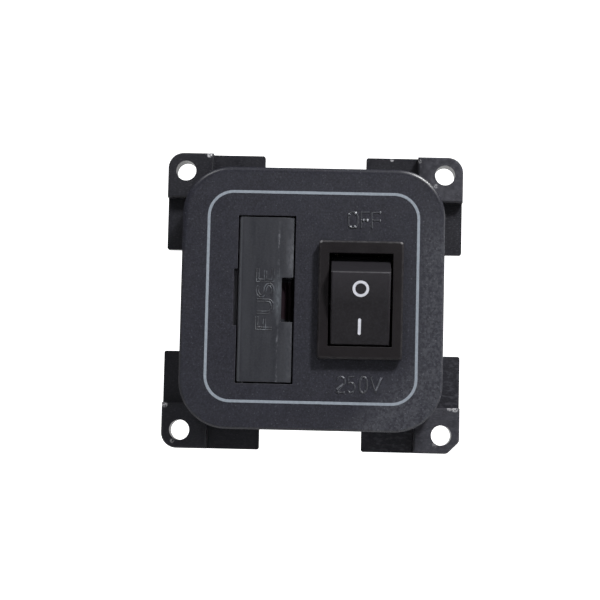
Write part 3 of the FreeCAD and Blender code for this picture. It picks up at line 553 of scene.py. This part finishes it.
def fuse_ceramic():
    """Unglazed ceramic barrel: off-white, chalky, with fine pores."""
    n = Nodes("fuse_ceramic")
    pores = n.spread(n.noise(0.22 * MM, 2.0), 0.62, 0.72)
    colour = n.mottle(n.noise(2.5 * MM, 4.0), rgb(226, 220, 202), rgb(214, 207, 186))
    colour = n.blend(n.times(pores, 0.4), colour, rgb(168, 160, 142))
    return n.finish(colour, 0.62, n.bump(pores, -0.02 * MM, n.soft_edges(0.08 * MM)))


def stage_white():
    """Floor and backdrop: pale, and bright enough behind the unit to burn out."""
    n = Nodes("stage_white")
    tone = n.mottle(n.noise(0.2, 2.0), (0.78, 0.78, 0.78, 1), (0.82, 0.82, 0.82, 1), 0.3, 0.7)
    n.shader.inputs["Emission Color"].default_value = (1, 1, 1, 1)
    n.feed(n.shader.inputs["Emission Strength"], n.spread(n.axis("Y"), *GLOW_FROM, 0.0, GLOW))
    return n.finish(tone, 0.9)


def paint(nodes, material):
    for name in nodes:
        for slot in frame["nodes"][name].material_slots:
            slot.material = material


def paint_nodes():
    brass = metal("terminal_brass", rgb(206, 176, 112), rgb(170, 134, 78), 0.22, 0.38, (1, 6, 6))
    copper = metal("bridge_copper", rgb(204, 132, 94), rgb(160, 92, 62), 0.25, 0.40, (6, 1, 1))
    nickel = metal("cap_nickel", rgb(190, 187, 178), rgb(146, 142, 134), 0.25, 0.42, (1, 1, 5))
    silver = metal("contact_silver", rgb(224, 224, 220), rgb(176, 174, 168), 0.18, 0.32)
    steel = metal("spring_steel", rgb(178, 179, 182), rgb(128, 128, 132), 0.22, 0.36)
    turned = metal("plunger_brass", rgb(212, 184, 122), rgb(176, 142, 86), 0.20, 0.34, (1, 8, 1))
    paint(["face_plate"], face_plastic())
    paint(["mounting_frame", "fuse_housing"], frame_plastic())
    paint(["fuse_carrier"], carrier_plastic())
    paint(["switch_housing"], bezel_plastic())
    paint(["rocker"], rocker_plastic())
    paint(["fuse_barrel"], fuse_ceramic())
    paint(["fuse_cap_upper", "fuse_cap_lower"], nickel)
    paint(["fuse_element"], copper)
    paint(["fuse_contact_upper", "fuse_contact_lower"], brass)
    for side in ("left", "right"):
        paint(["common_terminal_" + side, "load_terminal_" + side], brass)
        paint(["contact_bridge_" + side], copper)
        paint(["moving_contact_" + side, "fixed_contact_" + side], silver)
        paint(["plunger_spring_" + side], steel)
        paint(["plunger_" + side], turned)


# Pieces made here

def mesh_object(name, vertices, faces, material, body):
    mesh = bpy.data.meshes.new(name)
    mesh.from_pydata([tuple(v) for v in vertices], [], faces)
    mesh.validate()
    mesh.materials.append(material)
    made = bpy.data.objects.new(name, mesh)
    bpy.context.scene.collection.objects.link(made)
    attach(made, body)


def rounded_square_loop(half, radius, steps=12):
    """Points round a square with rounded corners."""
    loop = []
    for quarter in range(4):
        start = quarter * math.pi / 2
        middle = start + math.pi / 4
        centre_x = math.copysign(half - radius, math.cos(middle))
        centre_z = math.copysign(half - radius, math.sin(middle))
        for step in range(steps + 1):
            angle = start + step * math.pi / 2 / steps
            loop.append((centre_x + radius * math.cos(angle), centre_z + radius * math.sin(angle)))
    return loop


def band(name, outer, inner, place, thickness, material, body):
    """A thin closed ring between two loops of equal length, laid by place(u, v, height)."""
    count = len(outer)
    vertices = []
    for height in (-thickness, thickness):
        vertices += [place(u, v, height) for u, v in outer]
        vertices += [place(u, v, height) for u, v in inner]
    faces = []
    for i in range(count):
        j = (i + 1) % count
        low_out, low_in, top_out, top_in = 0, count, 2 * count, 3 * count
        faces.append((top_out + i, top_out + j, top_in + j, top_in + i))
        faces.append((low_out + j, low_out + i, low_in + i, low_in + j))
        faces.append((low_out + i, low_out + j, top_out + j, top_out + i))
        faces.append((low_in + j, low_in + i, top_in + i, top_in + j))
    mesh_object(name, vertices, faces, material, body)


def on_face(u, v, height):
    """Right, up and out of the face plate."""
    return Vector((u, FACE_Y - height, v))


def on_line(u, v, height):
    """The same, for the printed line, whose middle lies a little above the plate's."""
    return on_face(u, v + LINE_RISE, height)


def on_rocker(u, v, height):
    """Right, up along the tilted key and out of it, from the middle of its face."""
    return PIVOT + Vector((u, 0, 0)) + ROCKER_UP * v + ROCKER_OUT * (ROCKER_RISE + height)


def printed_line():
    half = LINE_WIDTH / 2
    outer = rounded_square_loop(LINE_HALF + half, LINE_ROUND + half)
    inner = rounded_square_loop(LINE_HALF - half, LINE_ROUND - half)
    band("printed_line", outer, inner, on_line, INK, line_ink(), "unit")


def circle_loop(radius, centre_v, steps=48):
    angles = [2 * math.pi * step / steps for step in range(steps)]
    return [(radius * math.cos(a), centre_v + radius * math.sin(a)) for a in angles]


def stadium_loop(width, height, centre_v, steps=12):
    """Points round an upright bar with round ends."""
    loop = []
    radius = width / 2
    reach = height / 2 - radius
    for start, centre in ((0, centre_v + reach), (math.pi, centre_v - reach)):
        for step in range(steps + 1):
            angle = start + math.pi * step / steps
            loop.append((radius * math.cos(angle), centre + radius * math.sin(angle)))
    return loop


def rocker_marks():
    ink = mark_ink()
    outer = circle_loop(RING_OUTER, RING_AT)
    inner = circle_loop(RING_OUTER - RING_STROKE, RING_AT)
    band("mark_ring", outer, inner, on_rocker, INK, ink, "rocker_key")
    edge = [(u + BAR_AT.x, v) for u, v in stadium_loop(BAR_WIDTH, BAR_HEIGHT, BAR_AT.y)]
    vertices = [on_rocker(u, v, height) for height in (-INK, INK) for u, v in edge]
    count = len(edge)
    faces = [tuple(range(2 * count - 1, count - 1, -1)), tuple(range(count))]
    faces += [(i, (i + 1) % count, count + (i + 1) % count, count + i) for i in range(count)]
    mesh_object("mark_bar", vertices, faces, ink, "rocker_key")


def arc(centre_u, centre_v, radius_u, radius_v, start_deg, end_deg, steps=14):
    """Points along part of an ellipse, from one angle to the other."""
    points = []
    for step in range(steps + 1):
        angle = math.radians(start_deg + (end_deg - start_deg) * step / steps)
        u, v = radius_u * math.cos(angle), radius_v * math.sin(angle)
        points.append((centre_u + u, centre_v + v))
    return points


def oval():
    """A tall O with nearly straight sides."""
    top = arc(0.33, 0.66, 0.33, 0.34, 0, 180)
    bottom = arc(0.33, 0.34, 0.33, 0.34, 180, 360)
    return top + bottom + top[:1]


def double_bow():
    """The S: two bows that meet in the middle."""
    upper = arc(0.31, 0.75, 0.30, 0.25, 40, 270, 10)
    lower = arc(0.31, 0.25, 0.30, 0.25, 90, -140, 10)
    return upper + lower[1:]


# The strokes of each letter in a cell one unit high
LETTERS = {
    "O": [oval()],
    "0": [oval()],
    "F": [[(0, 0), (0, 1), (0.62, 1)], [(0, 0.5), (0.5, 0.5)]],
    "E": [[(0.62, 1), (0, 1), (0, 0), (0.62, 0)], [(0, 0.5), (0.5, 0.5)]],
    "U": [[(0, 1)] + arc(0.31, 0.31, 0.31, 0.31, 180, 360) + [(0.62, 1)]],
    "V": [[(0, 1), (0.34, 0), (0.68, 1)]],
    "2": [arc(0.31, 0.69, 0.31, 0.31, 165, -35) + [(0, 0), (0.62, 0)]],
    "5": [[(0.58, 1), (0.08, 1), (0.04, 0.56)] + arc(0.29, 0.32, 0.33, 0.32, 110, -150)],
    "S": [double_bow()],
}


def beside(stroke, offset):
    """The same stroke moved sideways by that offset, with mitred corners."""
    points = [Vector(point) for point in stroke]
    moved = []
    for index, point in enumerate(points):
        before = (point - points[index - 1]).normalized() if index else None
        last = index == len(points) - 1
        after = before if last else (points[index + 1] - point).normalized()
        before = before or after
        mitre = (before + after).normalized()
        reach = offset / max(mitre.dot(before), MITRE_LEAST)
        moved.append((point.x - mitre.y * reach, point.y + mitre.x * reach))
    return moved


def strokes_object(name, strokes, radius, material, body):
    """Round strokes half sunk in the surface, one curve object."""
    curve = bpy.data.curves.new(name, "CURVE")
    curve.dimensions = "3D"
    curve.bevel_depth = radius
    curve.bevel_resolution = 3
    curve.use_fill_caps = True
    for stroke in strokes:
        spline = curve.splines.new("POLY")
        spline.points.add(len(stroke) - 1)
        for point, where in zip(spline.points, stroke):
            point.co = (*where, 1)
    curve.materials.append(material)
    made = bpy.data.objects.new(name, curve)
    bpy.context.scene.collection.objects.link(made)
    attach(made, body)


def word_on_face(name, text, height, widths, starts, base_v, painted_light, highlight_radius):
    """A word on the cap: thin raised strokes, with painted highlights laid over parts of them."""
    def lay(index, stroke):
        start, stretch = starts[index], widths[index] / CELL_WIDTH
        return [on_face(start + u * stretch, base_v + v * height, -STROKE_SUNK) for u, v in stroke]

    strokes = []
    for index, letter in enumerate(text):
        strokes += [lay(index, stroke) for stroke in LETTERS[letter]]
    strokes_object(name, strokes, STROKE_RADIUS, letter_plastic(), "unit")
    # Painted highlights: short strokes laid over the letters
    worn = [lay(index, stroke) for index, stroke in painted_light]
    highlight_name = name + "_highlights"
    strokes_object(highlight_name, worn, highlight_radius, highlight_plastic(), "unit")


def on_carrier(u, v, height):
    """The word on the carrier reads upwards: right becomes up, and up becomes left."""
    return Vector((-v, FACE_Y - height, u))


def word_on_carrier(name, text, height, width, advance, start_u, base_v):
    """The word on the carrier: each stroke shows as a pair of fine ridges."""
    stretch = width / CELL_WIDTH
    strokes = []
    for index, letter in enumerate(text):
        start = start_u + index * advance
        for stroke in LETTERS[letter]:
            flat = [(start + u * stretch, base_v + v * height) for u, v in stroke]
            for offset in (-RIDGE_APART / 2, RIDGE_APART / 2):
                ridge = [on_carrier(u, v, -RIDGE_SUNK) for u, v in beside(flat, offset)]
                strokes.append(ridge)
    strokes_object(name, strokes, RIDGE_RADIUS, ridge_plastic(), "carrier")


# The painted highlights: which letter, and the short stroke in its cell
OFF_HIGHLIGHTS = [
    (0, [(0.04, 0.82), (0.10, 0.88)]), (0, [(0.48, 0.96), (0.55, 0.92)]),
    (0, [(0.14, 0.08), (0.20, 0.04)]), (0, [(0.48, 0.06), (0.54, 0.12)]),
    (1, [(0.14, 0.5), (0.22, 0.5)]), (1, [(0.40, 0.5), (0.52, 0.5)]),
    (2, [(0.58, 1.0), (0.66, 1.0)]), (2, [(0.58, 0.5), (0.62, 0.5)]),
]
VOLTS_HIGHLIGHTS = [
    (0, [(0.44, 0.98), (0.54, 0.90)]), (0, [(0.50, 0.54), (0.0, 0.18)]),
    (0, [(0.10, 0.0), (0.16, 0.0)]), (0, [(0.54, 0.0), (0.62, 0.0)]),
    (1, [(0.38, 0.60), (0.46, 0.58)]), (1, [(0.12, 0.02), (0.22, 0.0)]),
    (1, [(0.46, 0.04), (0.52, 0.08)]),
    (2, [(0.08, 0.84), (0.16, 0.92)]), (2, [(0.46, 0.98), (0.56, 0.92)]),
    (2, [(0.18, 0.06), (0.22, 0.04)]), (2, [(0.50, 0.08), (0.56, 0.14)]),
    (3, [(0.06, 1.0), (0.08, 0.98)]), (3, [(0.66, 0.98), (0.34, 0.14)]),
]


def raised_words():
    word_on_face(
        "word_off", "OFF", height=2.85 * MM, base_v=12.72 * MM,
        widths=[1.65 * MM, 1.6 * MM, 1.6 * MM], starts=[6.15 * MM, 8.45 * MM, 10.35 * MM],
        painted_light=OFF_HIGHLIGHTS, highlight_radius=0.30 * MM)
    word_on_face(
        "word_250v", "250V", height=2.8 * MM, base_v=-16.5 * MM,
        widths=[1.5 * MM, 1.35 * MM, 1.3 * MM, 1.95 * MM],
        starts=[4.7 * MM, 6.6 * MM, 8.7 * MM, 10.6 * MM],
        painted_light=VOLTS_HIGHLIGHTS, highlight_radius=0.21 * MM)
    word_on_carrier(
        "word_fuse", "FUSE", height=2.75 * MM, width=2.3 * MM, advance=2.85 * MM,
        start_u=-5.5 * MM, base_v=7.0 * MM)


# Stage, light and camera

def sweep():
    """White floor that curves up into a backdrop, well clear of the unit."""
    bend_y, bend_z = SWEEP_BACK - SWEEP_BEND, SWEEP_FLOOR + SWEEP_BEND
    profile = [(SWEEP_FRONT, SWEEP_FLOOR)]
    for step in range(SWEEP_STEPS + 1):
        angle = math.pi / 2 * step / SWEEP_STEPS
        y, z = bend_y + SWEEP_BEND * math.sin(angle), bend_z - SWEEP_BEND * math.cos(angle)
        profile.append((y, z))
    profile.append((SWEEP_BACK, SWEEP_TOP))
    vertices = [(x, y, z) for x in (-SWEEP_HALF, SWEEP_HALF) for y, z in profile]
    count = len(profile)
    faces = [(i, i + 1, count + i + 1, count + i) for i in range(count - 1)]
    mesh = bpy.data.meshes.new("sweep")
    mesh.from_pydata(vertices, [], faces)
    mesh.materials.append(stage_white())
    made = bpy.data.objects.new("sweep", mesh)
    bpy.context.scene.collection.objects.link(made)
    for polygon in mesh.polygons:
        polygon.use_smooth = True


def area_light(name, direction, distance, size, power):
    """A square soft box in that direction from the face, aimed at it."""
    light = bpy.data.lights.new(name, "AREA")
    light.size = size
    light.energy = power
    light.spread = BEAM
    made = bpy.data.objects.new(name, light)
    bpy.context.scene.collection.objects.link(made)
    made.location = Vector((0, FACE_Y, 0)) + Vector(direction).normalized() * distance
    made.rotation_mode = "QUATERNION"
    made.rotation_quaternion = Vector(direction).to_track_quat("Z", "Y")


def lights():
    for lamp in LAMPS:
        area_light(*lamp)
    world = bpy.data.worlds.new("studio")
    world.use_nodes = True
    background = world.node_tree.nodes["Background"]
    background.inputs["Color"].default_value = WORLD_COLOUR
    background.inputs["Strength"].default_value = WORLD_STRENGTH
    bpy.context.scene.world = world


def camera():
    """Nearly square on to the face, a little below it, rolled as the photograph is."""
    data = bpy.data.cameras.new("camera")
    data.lens = CAMERA_LENS
    data.sensor_width = CAMERA_SENSOR
    data.clip_start = 0.01
    data.clip_end = 20.0
    made = bpy.data.objects.new("camera", data)
    bpy.context.scene.collection.objects.link(made)
    made.location = CAMERA_PLACE
    made.rotation_mode = "QUATERNION"
    level = CAMERA_FORWARD.to_track_quat("-Z", "Y")
    made.rotation_quaternion = level @ Quaternion((0, 0, 1), CAMERA_ROLL)
    bpy.context.scene.camera = made


paint_nodes()
printed_line()
rocker_marks()
raised_words()
sweep()
lights()
camera()
bpy.context.scene.view_settings.view_transform = "Standard"
